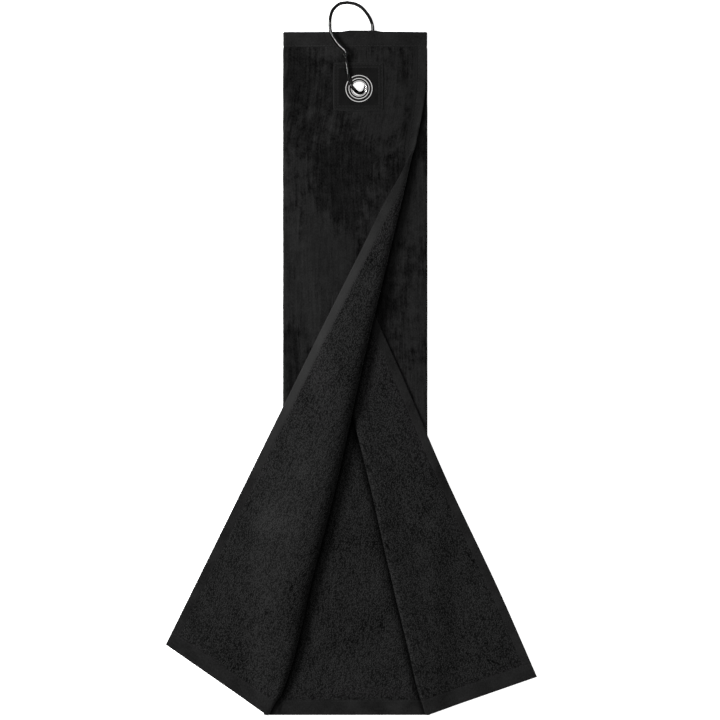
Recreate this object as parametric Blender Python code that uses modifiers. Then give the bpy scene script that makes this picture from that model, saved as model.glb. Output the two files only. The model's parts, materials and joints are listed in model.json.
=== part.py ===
"""Tri-fold golf towel with a grommet and a spring-wire hook, lying on a flat surface.

Plan axes: +X across the folded towel, +Y along it towards the hook, +Z up out of the cloth.
Plan sizes below are in millimetres from the middle of the folded towel's top edge, and world()
turns them into metres with the origin under the middle of the object's overall box.
"""
import math

import bpy
import bmesh
from mathutils import Vector

MM = 0.001

# Driving dimensions, in millimetres.
HALF_WIDTH = 67.7        # half of the folded width: a 406 mm towel in three
LENGTH = 645.0           # length of the towel along +Y
CLOTH = 1.9              # thickness of one layer of terry velour
PLY_GAP = 0.5            # air between two layers that lie on each other
STEP = CLOTH + PLY_GAP   # rise from one layer to the next
GAP = 0.3                # air between two pieces that meet
HEM = 1.5                # thickness of a turned hem
END_HEM = 14.5           # width of the hems across the towel's ends
SIDE_HEM = 8.3           # width of the hems along the towel's sides
THREAD = 0.3             # radius of the sewing thread
WIRE = 1.5               # radius of the hook's spring wire
WIRE_SPACING = 3.0       # length of the straight pieces that a bent wire is made of

# The eyelet and the patch that it holds to the cloth.
EYELET_X = 3.6
EYELET_Y = -53.8
BORE = 6.35
BARREL = 6.85
FLANGE = 12.7
CLOTH_HOLE = 7.3
HOLE_DEPTH = 30.0        # deep enough to pierce every layer
PATCH_WIDTH = 48.0
PATCH_LENGTH = 46.0
PATCH_X = 3.0
PATCH_Y = -52.0
PATCH = 0.8
PATCH_SEAM = 5.0         # how far inside the patch's edge its thread runs
PLATE = 0.6              # thickness of the eyelet's washer and of its rolled rim
DOME = 1.1               # rise of the eyelet's dome over its own underside

# The hook's back leg and the eyelet's rim hold every layer of cloth up: how far, the middle and
# half width of the level part, and where it comes down to the sides and down the towel.
LIFT = 5.1
LIFT_X = 7.0
LIFT_LEVEL = 24.0
LIFT_SIDE = 34.0
LIFT_LAST = -72.0
LIFT_END = -130.0

# Middle of the object's overall box in plan, where the origin goes.
CENTRE_X = -3.6
CENTRE_Y = -308.05

# Straight lines in plan, each from its upper to its lower end: (x, y, height of the cloth's top).
FRONT_HINGE = ((49.4, -122.0, 12.6), (-80.0, -640.0, 11.5))
RIGHT_HINGE = ((18.0, -292.0, 6.8), (74.5, -641.0, 7.6))
FRONT_EDGE = ((32.9, -151.0, 0.0), (-179.0, -578.5, 0.0))
RIGHT_EDGE = ((20.6, -272.0, 0.0), (171.8, -609.0, 0.0))
RIGHT_CREASE = ((-64.9, -99.0, 0.0), (64.3, -641.0, 0.0))

SHARP_ANGLE = 40.0       # degrees, over which a bend is shaded as an edge
ROW = 14.0               # spacing of a layer's rows where it is lifted
COARSE_ROW = 33.6        # and further down
FRONT_PANEL_END = -572.0 # lower end of the front panel, where its roll reaches the left fold
RIGHT_PANEL_END = -612.0 # lower end of the right panel, where its roll reaches the right fold
RIGHT_ROLL_TOP = -112.0
HIDDEN_HEM_END = -76.0   # lower end of the right panel's own side hem, inside the towel
TURNED_HEM_TOP = -125.0  # the turned-back side hem that the front panel covers
TURNED_HEM_END = -248.0
FRONT_FLAP_TOP = -162.0
RIGHT_FLAP_TOP = -296.0
ROLL_BLEND = 24.0        # length over which the front panel's side passes from hem to roll
ROLL_LOOSENS = -385.0    # where the right roll starts to widen
ROLL_LOOSE_OVER = 250.0  # and the length over which it does
LEDGE = 3.0              # how far a layer stays level past the edge of the one below
FALL = 20.0              # length over which it then comes down
TIGHT_ROLL = CLOTH + PLY_GAP / 2
LOOSE_ROLL = 3.6         # radius of the right roll at the bottom hem
FLAP_SETTLE = 28.0       # distance from its hinge at which a flap lies down
ROLL_AIR = 0.5           # extra air that the front panel keeps over the turned-back cloth
FLAP_AIR = 0.7           # extra air that the front flap's pile keeps over the front panel
FRONT_EDGE_TURN = -26.0  # where the front panel's free edge starts to leave the fold line
FRONT_EDGE_END = -98.0   # where it goes into the roll
EDGE_DRIFT = 16.5        # how far the free edge has moved in by the top of the roll
EDGE_CURVE = 1.8         # power of that drift
HIDDEN_EDGE = -62.2      # free edge of the right panel, inside the left fold
BACK_LEFT = HIDDEN_EDGE
BACK_RIGHT = HALF_WIDTH - CLOTH / 2 - STEP / 2 - 3 * GAP
THREAD_INSET = 2.0       # how far inside a hem's inner side its thread runs
THREAD_END = 7.7         # how far from the left fold the top thread ends
THREAD_STEPS = 14
BOTTOM_THREAD_LEFT = -40.0
BOTTOM_THREAD_RIGHT = 54.0
FOLD_SHARE = 0.25        # share of a layer's columns that goes round its fold
ROLL_SHARE = 0.6         # share of the right roll's columns that goes round the roll
FLAP_COLUMNS = 8
FLAP_ROWS = 18
HINGE_CROWDING = 1.5     # power that draws a flap's columns together towards its hinge


def world(x, y, z):
    """Turn plan millimetres into the part's frame in metres."""
    return Vector(((x - CENTRE_X) * MM, (y - CENTRE_Y) * MM, z * MM))


def smooth(t):
    t = min(1.0, max(0.0, t))
    return t * t * (3.0 - 2.0 * t)


def mix(a, b, t):
    return a + (b - a) * t


def along(line, y):
    """The x and height of a straight line where it crosses y."""
    (x0, y0, z0), (x1, y1, z1) = line
    t = (y - y0) / (y1 - y0)
    return mix(x0, x1, t), mix(z0, z1, t)


def sideways(line):
    """Unit vector in plan that points to the right of a line."""
    (x0, y0, _), (x1, y1, _) = line
    length = math.hypot(x1 - x0, y1 - y0)
    return (y0 - y1) / length, (x1 - x0) / length


def across(line, x, y):
    """Signed distance of a plan point to the right of a line."""
    right = sideways(line)
    return (x - line[0][0]) * right[0] + (y - line[0][1]) * right[1]


def covers(outside):
    """1 on a layer and on its ledge, 0 well past its edge."""
    return 1.0 - smooth((outside - LEDGE) / FALL)


# Heights of the underside of each layer over the surface that the towel lies on.

def lift(x, y):
    """Rise of every layer over the hook's back leg and the eyelet."""
    over_x = 1.0 - smooth((abs(x - LIFT_X) - LIFT_LEVEL) / LIFT_SIDE)
    over_y = 1.0 - smooth((LIFT_LAST - y) / (LIFT_LAST - LIFT_END))
    return LIFT * over_x * over_y


def right_panel_height(x, y):
    return lift(x, y) + STEP


def turned_right_height(x, y):
    """The right panel's turned-back cloth, which lies on two layers and then on the table."""
    return (lift(x, y) + 2 * STEP) * covers(x - HALF_WIDTH)


def front_panel_height(x, y):
    on_right_panel = covers(-across(RIGHT_CREASE, x, y))
    outside_turned = max(-across(RIGHT_CREASE, x, y), across(RIGHT_EDGE, x, y))
    return lift(x, y) + STEP * (1.0 + on_right_panel) + (STEP + ROLL_AIR) * covers(outside_turned)


def front_flap_height(x, y):
    """The front flap comes off its roll onto the front panel, and past the fold onto the table."""
    stack = front_panel_height(max(x, -HALF_WIDTH), y) + STEP + FLAP_AIR
    rest = stack * covers(-HALF_WIDTH - x)
    off_hinge = smooth(-across(FRONT_HINGE, x, y) / FLAP_SETTLE)
    return mix(along(FRONT_HINGE, y)[1] - CLOTH, rest, off_hinge)


def right_flap_height(x, y):
    off_hinge = smooth(across(RIGHT_HINGE, x, y) / FLAP_SETTLE)
    return mix(along(RIGHT_HINGE, y)[1] - CLOTH, turned_right_height(x, y), off_hinge)


# Small builders.

def collection(name):
    found = bpy.data.collections.new(name)
    bpy.context.scene.collection.children.link(found)
    return found


def material(name, colour, roughness, metallic=0.0):
    made = bpy.data.materials.new(name)
    made.use_nodes = True
    shader = made.node_tree.nodes["Principled BSDF"]
    shader.inputs["Base Color"].default_value = (*colour, 1.0)
    shader.inputs["Roughness"].default_value = roughness
    shader.inputs["Metallic"].default_value = metallic
    return made


def keep(obj, name, look, home):
    """Name an object, give it its own copy of a look and put it in a collection."""
    obj.name = name
    obj.data.name = name
    obj.data.materials.clear()
    if look is not None:
        own = look.copy()
        own.name = name + "_finish"
        obj.data.materials.append(own)
    for old in list(obj.users_collection):
        old.objects.unlink(obj)
    home.objects.link(obj)
    return obj


def levels(low, high):
    """The y of each row of a layer: close together where the cloth is lifted, wider below."""
    fine = [-ROW * index for index in range(int(-LIFT_END / ROW) + 1)]
    coarse = [LIFT_END - COARSE_ROW * index for index in range(1, int(LENGTH / COARSE_ROW))]
    inside = [y for y in fine + coarse if low + ROW / 3 < y < high - ROW / 3]
    return [low, *reversed(inside), high]


def sheet(name, columns, rows, place, thickness, look):
    """A cloth layer: a grid laid out by place(u, v) and given its thickness."""
    bpy.ops.mesh.primitive_grid_add(x_subdivisions=columns, y_subdivisions=rows, size=1.0)
    obj = bpy.context.object
    for vertex in obj.data.vertices:
        x, y, z = place(vertex.co.x + 0.5, vertex.co.y + 0.5)
        vertex.co = world(x, y, z)
    solid = obj.modifiers.new("Thickness", "SOLIDIFY")
    solid.thickness = thickness * MM
    solid.offset = 0.0
    solid.use_even_offset = True
    obj.data.shade_smooth()
    obj.data.set_sharp_from_angle(angle=math.radians(SHARP_ANGLE))
    return keep(obj, name, look, towel)


def smooth_route(points, spacing):
    """Points about spacing apart on a Catmull-Rom curve through a route's own points."""
    ends = [points[0] * 2 - points[1]] + points + [points[-1] * 2 - points[-2]]
    route = []
    for a, b, c, d in zip(ends, ends[1:], ends[2:], ends[3:]):
        steps = max(1, round((c - b).length / spacing))
        for step in range(steps):
            t = step / steps
            route.append(0.5 * (2 * b + (c - a) * t + (2 * a - 5 * b + 4 * c - d) * t ** 2
                                + (3 * b - a - 3 * c + d) * t ** 3))
    return route + [points[-1]]


def wire(name, points, radius, look, closed=False):
    """A round wire or thread along points given in plan millimetres."""
    curve = bpy.data.curves.new(name, "CURVE")
    curve.dimensions = "3D"
    curve.bevel_depth = radius * MM
    curve.bevel_resolution = 2
    curve.use_fill_caps = True
    spline = curve.splines.new("POLY")
    spline.points.add(len(points) - 1)
    for target, point in zip(spline.points, points):
        target.co = (*world(*point), 1.0)
    spline.use_cyclic_u = closed
    obj = bpy.data.objects.new(name, curve)
    bpy.context.scene.collection.objects.link(obj)
    return keep(obj, name, look, towel)


def turned(name, profile, look):
    """A ring turned about the eyelet's axis from (radius, height) points, outer side downwards."""
    mesh = bpy.data.meshes.new(name)
    shape = bmesh.new()
    corners = [shape.verts.new((radius * MM, 0.0, height * MM)) for radius, height in profile]
    for start, end in zip(corners, corners[1:] + corners[:1]):
        shape.edges.new((start, end))
    shape.to_mesh(mesh)
    shape.free()
    obj = bpy.data.objects.new(name, mesh)
    bpy.context.scene.collection.objects.link(obj)
    obj.location = world(EYELET_X, EYELET_Y, 0.0)
    screw = obj.modifiers.new("Turn", "SCREW")
    screw.steps = 36
    screw.render_steps = 36
    screw.use_merge_vertices = True
    screw.merge_threshold = 0.00002
    screw.use_smooth_shade = True
    return keep(obj, name, look, towel)


def pierce(obj, cutter):
    cut = obj.modifiers.new("Eyelet hole", "BOOLEAN")
    cut.operation = "DIFFERENCE"
    cut.solver = "EXACT"
    cut.object = cutter


# Outlines that panels and hems share.

def front_free_edge(y):
    """The front panel's free edge: straight at first, then drifting in towards the roll."""
    reach = (FRONT_EDGE_TURN - y) / (FRONT_EDGE_TURN - FRONT_HINGE[0][1])
    return HALF_WIDTH - GAP - EDGE_DRIFT * max(0.0, reach) ** EDGE_CURVE


def front_panel_right(y):
    """The right side of the front panel's pile: along its hem, then along the roll."""
    beside_hem = front_free_edge(y) - SIDE_HEM - GAP
    beside_roll = along(FRONT_HINGE, y)[0] - GAP
    return mix(beside_hem, beside_roll, smooth((FRONT_EDGE_END - y) / ROLL_BLEND))


def right_roll_radius(y):
    return mix(TIGHT_ROLL, LOOSE_ROLL, smooth((ROLL_LOOSENS - y) / ROLL_LOOSE_OVER))


def right_panel_left(y):
    """The left side of the right panel: along its hidden hem, then along its own roll."""
    beside_hem = HIDDEN_EDGE + SIDE_HEM + GAP
    beside_roll = along(RIGHT_CREASE, y)[0] + right_roll_radius(y) + GAP
    return max(beside_hem, beside_roll)


def front_layer(u, y, right):
    """Across the front layer: round the left fold, then over to its right side."""
    high = front_panel_height(-HALF_WIDTH + 2.0, y) + CLOTH / 2
    radius = (high - CLOTH / 2) / 2
    centre = -HALF_WIDTH + CLOTH / 2 + radius
    if u < FOLD_SHARE:
        turn = math.pi * (0.5 + u / FOLD_SHARE)
        return centre + radius * math.cos(turn), y, CLOTH / 2 + radius - radius * math.sin(turn)
    x = mix(centre, right, (u - FOLD_SHARE) / (1.0 - FOLD_SHARE))
    return x, y, front_panel_height(x, y) + CLOTH / 2


def right_layer(u, y, left):
    """Across the right layer: from its left side over to the right fold and round it."""
    radius = STEP / 2
    centre = HALF_WIDTH - CLOTH / 2 - radius
    if u > 1.0 - FOLD_SHARE:
        turn = math.pi * (0.5 - (u - 1.0 + FOLD_SHARE) / FOLD_SHARE)
        return centre + radius * math.cos(turn), y, CLOTH / 2 + radius + radius * math.sin(turn)
    x = mix(left, centre, u / (1.0 - FOLD_SHARE))
    return x, y, right_panel_height(x, y) + CLOTH / 2


def right_roll_point(u, y):
    """The right layer turned back on itself: round the roll, then flat as far as the flap."""
    radius = right_roll_radius(y)
    crown_x = along(RIGHT_CREASE, y)[0] + radius
    floor = right_panel_height(crown_x, y)
    if u < ROLL_SHARE:
        turn = math.pi * (1.5 - u / ROLL_SHARE)
        bend = radius - CLOTH / 2
        return crown_x + bend * math.cos(turn), y, floor + radius + bend * math.sin(turn)
    run = (u - ROLL_SHARE) / (1.0 - ROLL_SHARE)
    hinge_x, hinge_top = along(RIGHT_HINGE, y)
    beside_hem = along(RIGHT_EDGE, y)[0] - SIDE_HEM - GAP
    end_x = max(min(hinge_x - GAP, beside_hem), crown_x + 1.0)
    end_top = max(hinge_top, floor + 2 * TIGHT_ROLL)
    top = mix(floor + 2 * radius, end_top, smooth(run))
    return mix(crown_x, end_x, run), y, top - CLOTH / 2


def front_roll_point(u, y):
    """The front layer's roll, from under its crown round its right side and up to the crown."""
    crown_x, crown_top = along(FRONT_HINGE, y)
    floor = front_panel_height(crown_x + LEDGE, y)
    radius = (crown_top - floor) / 2
    bend = radius - CLOTH / 2
    turn = math.pi * (u - 0.5)
    aside = bend * math.cos(turn)
    right = sideways(FRONT_HINGE)
    return crown_x + aside * right[0], y + aside * right[1], floor + radius + bend * math.sin(turn)


# The cloth: one piece on the real towel, divided here where it folds and at its hems.

def layer(name, columns, across_at, low, high, thickness, look):
    """A sheet made of rows that across_at(u, y) lays out from low to high."""
    row_levels = levels(low, high)
    last = len(row_levels) - 1
    return sheet(name, columns, last, lambda u, v: across_at(u, row_levels[round(v * last)]),
                 thickness, look)


def flat_row(left, right, height):
    """Across a layer that lies flat between two sides."""
    def across_at(u, y):
        x = mix(left, right, u)
        return x, y, height(x, y) + CLOTH / 2
    return across_at


def make_panels():
    top = -END_HEM - GAP
    bottom = -LENGTH + END_HEM + GAP
    back = layer("back_panel", 12, flat_row(BACK_LEFT, BACK_RIGHT, lift), bottom, top, CLOTH, pile)
    middle = layer("right_panel", 14, lambda u, y: right_layer(u, y, right_panel_left(y)),
                   RIGHT_PANEL_END, top, CLOTH, pile)
    front = layer("front_panel", 16, lambda u, y: front_layer(u, y, front_panel_right(y)),
                  FRONT_PANEL_END, top, CLOTH, pile)
    layer("right_roll", 10, right_roll_point, RIGHT_HINGE[1][1], RIGHT_ROLL_TOP, CLOTH, pile)
    layer("front_roll", 7, front_roll_point, FRONT_HINGE[1][1], FRONT_HINGE[0][1], CLOTH, pile)
    return back, middle, front


def make_panel_hems():
    """The turned hems of the parts of the towel that stay folded, and their threads."""
    layer("back_top_hem", 12, flat_row(BACK_LEFT, BACK_RIGHT, lift), -END_HEM, 0.0, HEM, weave)
    layer("right_top_hem", 14, lambda u, y: right_layer(u, y, HIDDEN_EDGE),
          -END_HEM, 0.0, HEM, weave)
    layer("front_top_hem", 16, lambda u, y: front_layer(u, y, front_free_edge(y)),
          -END_HEM, 0.0, HEM, weave)
    layer("back_bottom_hem", 4, flat_row(-HALF_WIDTH, HALF_WIDTH, lift),
          -LENGTH, -LENGTH + END_HEM, HEM, weave)
    side_top = -END_HEM - GAP

    def front_side(u, y):
        x = front_free_edge(y) - SIDE_HEM * (1.0 - u)
        return x, y, front_panel_height(x, y) + CLOTH / 2

    def hidden_side(u, y):
        x = HIDDEN_EDGE + SIDE_HEM * u
        return x, y, right_panel_height(x, y) + CLOTH / 2

    def turned_side(u, y):
        x = along(RIGHT_EDGE, y)[0] - SIDE_HEM * (1.0 - u)
        return x, y, turned_right_height(x, y) + CLOTH / 2

    layer("front_side_hem", 2, front_side, FRONT_EDGE_END, side_top, HEM, weave)
    layer("right_side_hem", 2, hidden_side, HIDDEN_HEM_END, side_top, HEM, weave)
    layer("right_roll_side_hem", 2, turned_side, TURNED_HEM_END, TURNED_HEM_TOP, HEM, weave)

    def thread_on(name, places, height):
        above = (CLOTH + HEM) / 2 + GAP + THREAD
        wire(name, [(x, y, height(x, y) + above) for x, y in places], THREAD, thread)

    stations = [index / THREAD_STEPS for index in range(THREAD_STEPS + 1)]
    top_left = -HALF_WIDTH + THREAD_END
    top_right = HALF_WIDTH - SIDE_HEM - THREAD_INSET
    thread_on("front_top_thread",
              [(mix(top_left, top_right, t), -END_HEM + THREAD_INSET) for t in stations],
              front_panel_height)
    thread_on("front_side_thread",
              [(front_free_edge(y) - SIDE_HEM + THREAD_INSET, y)
               for y in (mix(side_top - 1.0, FRONT_EDGE_END + 1.0, t) for t in stations)],
              front_panel_height)
    thread_on("back_bottom_thread",
              [(mix(BOTTOM_THREAD_LEFT, BOTTOM_THREAD_RIGHT, t), -LENGTH + END_HEM - THREAD_INSET)
               for t in (0.0, 0.5, 1.0)],
              lift)


def make_flap(side, hinge, edge, top, height):
    """A turned-back flap: pile, side hem, bottom hem and the thread of both hems."""
    aside = math.copysign(2 * GAP, edge[1][0] - hinge[1][0])
    hinge_top = along(hinge, top)[0] + aside, top
    hinge_bottom = hinge[1][0] + aside, hinge[1][1]
    edge_top = along(edge, top)[0], top
    edge_bottom = edge[1][:2]
    slope = math.dist(edge_top, edge_bottom) / abs(top - edge_bottom[1])
    hem_from = 1.0 - END_HEM / math.dist(edge_top, edge_bottom)
    seam = GAP / math.dist(edge_top, edge_bottom)

    def point(down, out):
        x = mix(mix(hinge_top[0], hinge_bottom[0], down), mix(edge_top[0], edge_bottom[0], down), out)
        y = mix(mix(hinge_top[1], hinge_bottom[1], down), mix(edge_top[1], edge_bottom[1], down), out)
        return x, y

    def hem_line(down, from_edge):
        """Share of the flap's width at which a line runs from_edge inside its free edge."""
        return 1.0 - from_edge * slope / math.dist(point(down, 0.0), point(down, 1.0))

    def piece(part, columns, count, down_range, out_range, thickness, look):
        def place(u, v):
            down = mix(down_range[1], down_range[0], v)
            x, y = point(down, mix(out_range[0](down), out_range[1](down), u ** HINGE_CROWDING))
            return x, y, height(x, y) + CLOTH / 2
        sheet(f"{side}_flap{part}", columns, count, place, thickness, look)

    def hinge_side(_):
        return 0.0

    def free_edge(_):
        return 1.0

    piece("", FLAP_COLUMNS, FLAP_ROWS, (0.0, hem_from - seam),
          (hinge_side, lambda down: hem_line(down, SIDE_HEM + GAP)), CLOTH, pile)
    piece("_side_hem", 2, FLAP_ROWS, (0.0, hem_from - seam),
          (lambda down: hem_line(down, SIDE_HEM), free_edge), HEM, weave)
    piece("_bottom_hem", FLAP_COLUMNS, 2, (hem_from, 1.0), (hinge_side, free_edge), HEM, weave)

    def stitched(name, places):
        points = []
        for down, out in places:
            x, y = point(down, out)
            points.append((x, y, height(x, y) + (CLOTH + HEM) / 2 + 2 * GAP + THREAD))
        wire(name, points, THREAD, thread)

    stitched(f"{side}_flap_side_thread",
             [(down, hem_line(down, SIDE_HEM - THREAD_INSET))
              for down in ((hem_from - seam) * index / FLAP_ROWS for index in range(1, FLAP_ROWS))])
    stitched(f"{side}_flap_bottom_thread",
             [(mix(hem_from, 1.0, THREAD_INSET / END_HEM), (index / FLAP_COLUMNS) ** HINGE_CROWDING)
              for index in range(FLAP_COLUMNS)])


# The fittings.

def make_patch():
    """The reinforcing square under the eyelet, with its frame of sewing thread."""
    half_width = PATCH_WIDTH / 2
    half_length = PATCH_LENGTH / 2
    corners = ((half_width, half_length), (-half_width, half_length),
               (-half_width, -half_length), (half_width, -half_length))
    bottom = LIFT + 2 * STEP + CLOTH + GAP
    curve = bpy.data.curves.new("grommet_patch", "CURVE")
    curve.dimensions = "2D"
    curve.fill_mode = "BOTH"
    curve.extrude = PATCH / 2 * MM
    spline = curve.splines.new("POLY")
    spline.points.add(len(corners) - 1)
    for target, (x, y) in zip(spline.points, corners):
        target.co = (x * MM, y * MM, 0.0, 1.0)
    spline.use_cyclic_u = True
    outline = bpy.data.objects.new("patch_outline", curve)
    bpy.context.scene.collection.objects.link(outline)
    outline.location = world(PATCH_X, PATCH_Y, bottom + PATCH / 2)
    bpy.context.view_layer.update()
    evaluated = outline.evaluated_get(bpy.context.evaluated_depsgraph_get())
    mesh = bpy.data.meshes.new_from_object(evaluated)
    shape = bmesh.new()
    shape.from_mesh(mesh)
    bmesh.ops.remove_doubles(shape, verts=shape.verts, dist=0.00001)
    shape.to_mesh(mesh)
    shape.free()
    patch = bpy.data.objects.new("grommet_patch", mesh)
    bpy.context.scene.collection.objects.link(patch)
    patch.matrix_world = outline.matrix_world
    bpy.data.objects.remove(outline)
    keep(patch, "grommet_patch", weave, towel)
    height = bottom + PATCH + GAP + THREAD
    inner_width = half_width - PATCH_SEAM
    inner_length = half_length - PATCH_SEAM
    frame = [(PATCH_X + math.copysign(inner_width, x), PATCH_Y + math.copysign(inner_length, y),
              height) for x, y in corners]
    wire("patch_thread", frame, THREAD, thread, closed=True)
    return patch


def make_eyelet():
    """The eyelet: a domed flange and barrel on top, and the washer that its rim holds below."""
    top = LIFT + 2 * STEP + CLOTH + GAP + PATCH + GAP
    washer_top = LIFT - GAP
    washer_bottom = washer_top - PLATE
    rim_top = washer_bottom - GAP
    rim_bottom = rim_top - PLATE
    rim = FLANGE - 3.0
    edge = DOME / 3
    dome = []
    for index in range(6):
        t = 1.0 - index / 5
        rise = (DOME - edge) * math.sin(math.pi * mix(0.06, 0.62, t))
        dome.append((mix(FLANGE, BORE + edge, t), top + edge + rise))
    turned("eyelet", [(BORE, top + DOME / 2), *dome, (FLANGE, top), (BARREL, top),
                      (BARREL, rim_top), (rim, rim_top), (rim - GAP, rim_bottom + PLATE / 6),
                      (BORE + PLATE, rim_bottom), (BORE, rim_bottom + PLATE)], chrome)
    bevel = PLATE / 3
    turned("eyelet_washer", [(BARREL + GAP, washer_top), (FLANGE - bevel, washer_top),
                             (FLANGE, washer_bottom + bevel), (FLANGE - bevel, washer_bottom),
                             (BARREL + GAP, washer_bottom)], chrome)


def make_hook():
    """One spring wire: its fixed stretch, and the stretch that flexes open at the top."""
    body = [Vector(point) for point in (
        (-12.6, -22.2, 13.6), (-10.8, -20.9, 13.6), (-9.0, -22.6, 13.9), (-8.4, -27.0, 15.3),
        (-7.8, -33.0, 15.8), (-6.8, -41.0, 16.0), (-5.4, -47.0, 16.3), (-3.6, -51.2, 16.4),
        (-1.7, -53.4, 16.0), (-0.4, -54.9, 14.0), (1.0, -56.1, 10.8), (3.6, -57.3, 6.8),
        (6.0, -57.0, 3.1), (7.6, -55.6, 1.6), (9.2, -52.8, 1.6), (10.5, -48.0, 1.6),
        (12.2, -36.0, 1.6), (14.2, -20.0, 1.6), (16.0, -5.0, 1.6), (16.5, 4.0, 1.6),
        (15.2, 9.8, 1.9), (13.0, 14.6, 3.1), (9.6, 19.4, 4.9), (5.3, 23.5, 6.9),
        (-0.5, 26.4, 9.1), (-6.4, 27.4, 10.9))]
    wire("hook_wire", smooth_route(body, WIRE_SPACING), WIRE, chrome)
    gate = [Vector(point) for point in (
        (-9.4, 27.3, 11.9), (-14.1, 26.2, 13.2), (-18.9, 22.8, 14.4), (-21.9, 18.4, 15.2),
        (-23.4, 12.6, 15.8), (-23.7, 6.8, 16.0), (-23.2, 0.0, 16.2), (-20.1, -6.0, 16.5),
        (-14.9, -13.2, 17.1), (-10.4, -17.2, 17.7), (-7.2, -20.4, 18.1), (-7.0, -23.4, 18.6),
        (-9.2, -25.2, 18.9))]
    wire("hook_gate", smooth_route(gate, WIRE_SPACING), WIRE, chrome)


for old in list(bpy.data.objects):
    bpy.data.objects.remove(old)

towel = collection("golf_towel")
cutters = collection("cutters")
pile = material("terry_velour", (0.012, 0.012, 0.012), 0.95)
weave = material("hem_weave", (0.02, 0.02, 0.02), 0.9)
thread = material("thread", (0.015, 0.015, 0.015), 0.8)
chrome = material("black_nickel", (0.55, 0.55, 0.56), 0.15, 1.0)

pierced = make_panels()
make_panel_hems()
make_flap("front", FRONT_HINGE, FRONT_EDGE, FRONT_FLAP_TOP, front_flap_height)
make_flap("right", RIGHT_HINGE, RIGHT_EDGE, RIGHT_FLAP_TOP, right_flap_height)
patch_piece = make_patch()
make_eyelet()
make_hook()

bpy.ops.mesh.primitive_cylinder_add(vertices=36, radius=CLOTH_HOLE * MM, depth=2 * HOLE_DEPTH * MM,
                                    location=world(EYELET_X, EYELET_Y, 0.0))
hole = keep(bpy.context.object, "eyelet_hole", None, cutters)
hole.hide_render = True
hole.display_type = "WIRE"
for piece in (*pierced, patch_piece):
    pierce(piece, hole)
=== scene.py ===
"""Looks of the tri-fold golf towel: cloth, hems, stitching, patch, eyelet and hook.

Plan sizes are in millimetres from the middle of the folded towel's top edge, as in the CAD model,
and world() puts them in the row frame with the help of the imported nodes.
"""

import json
import math

import bmesh
import bpy
import numpy as np
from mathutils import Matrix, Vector, noise

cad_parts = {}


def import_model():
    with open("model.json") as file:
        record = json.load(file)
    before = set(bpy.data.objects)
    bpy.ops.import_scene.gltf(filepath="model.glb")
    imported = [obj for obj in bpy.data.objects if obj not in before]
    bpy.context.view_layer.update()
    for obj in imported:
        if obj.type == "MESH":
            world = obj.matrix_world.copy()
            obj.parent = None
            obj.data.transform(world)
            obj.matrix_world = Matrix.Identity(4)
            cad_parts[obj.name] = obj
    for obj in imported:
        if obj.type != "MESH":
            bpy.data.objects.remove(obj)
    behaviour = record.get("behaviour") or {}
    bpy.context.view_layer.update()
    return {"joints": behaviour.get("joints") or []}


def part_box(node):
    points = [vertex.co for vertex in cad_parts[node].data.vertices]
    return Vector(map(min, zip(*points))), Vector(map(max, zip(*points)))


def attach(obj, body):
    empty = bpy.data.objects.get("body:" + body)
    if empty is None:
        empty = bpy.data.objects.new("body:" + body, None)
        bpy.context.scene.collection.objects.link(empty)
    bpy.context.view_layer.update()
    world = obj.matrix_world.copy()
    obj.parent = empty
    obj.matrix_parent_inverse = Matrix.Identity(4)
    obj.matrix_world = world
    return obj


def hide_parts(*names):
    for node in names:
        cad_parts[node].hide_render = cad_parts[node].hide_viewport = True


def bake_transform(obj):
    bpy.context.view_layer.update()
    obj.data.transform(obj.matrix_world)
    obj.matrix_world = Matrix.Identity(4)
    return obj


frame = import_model()

MM = 0.001

# The folded towel's middle line and top edge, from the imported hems.
hem_low, hem_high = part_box("back_bottom_hem")
FOLD_X = (hem_low[0] + hem_high[0]) / 2
TOP_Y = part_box("front_top_hem")[1][1]

# Cloth, in millimetres.
HALF_WIDTH = 68.2        # half of the folded width, with the folds' soft bulge
LENGTH = 645.0
STEP = 2.4               # rise from one layer to the next
MID = 0.95               # height of a layer's middle over its underside
HALF_PILE = 1.0          # half the thickness of terry velour
HALF_HEM = 0.8           # half the thickness of a turned hem
HALF_SEAM = 0.55         # half the thickness under a row of stitches
END_HEM = 14.3
SIDE_HEM = 8.4
WOVEN_EDGE = 11.4        # smooth edge on the velour face, wider than the hem turned behind it
LIFT = 5.1               # how far the washer and the wire behind it lift the layers over them
LIFT_MIDDLE = 7.0        # the lift's middle across the towel,
LIFT_HALF = 24.0         # half the width where it is full,
LIFT_FALL = 34.0         # how far it falls off on both sides,
LIFT_END = -72.0         # where it starts to fall off down the towel
LIFT_END_FALL = 58.0     # and over what length
LEDGE = 3.0              # a layer stays level this far past the edge under it,
FALL = 20.0              # and sinks over this distance
HIDDEN_EDGE = -62.2      # the right layer's free edge, inside the folded towel
EDGE_LIFTS = -45.0       # where the front layer's edge starts to curl up
EDGE_TURNED = -121.0     # where it points back over the towel
FRONT_CORNER = -578.5    # the front flap's outer corner
RIGHT_STARTS = -87.0     # top of the right layer's turned-back part
RIGHT_CORNER = -609.0


def world(x, y, z):
    return Vector((x * MM + FOLD_X, y * MM + TOP_Y, z * MM))


def plan(point):
    return (point[0] - FOLD_X) / MM, (point[1] - TOP_Y) / MM, point[2] / MM


def smooth(t):
    t = min(1.0, max(0.0, t))
    return t * t * (3.0 - 2.0 * t)


def mix(a, b, t):
    return a + (b - a) * t


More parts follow.
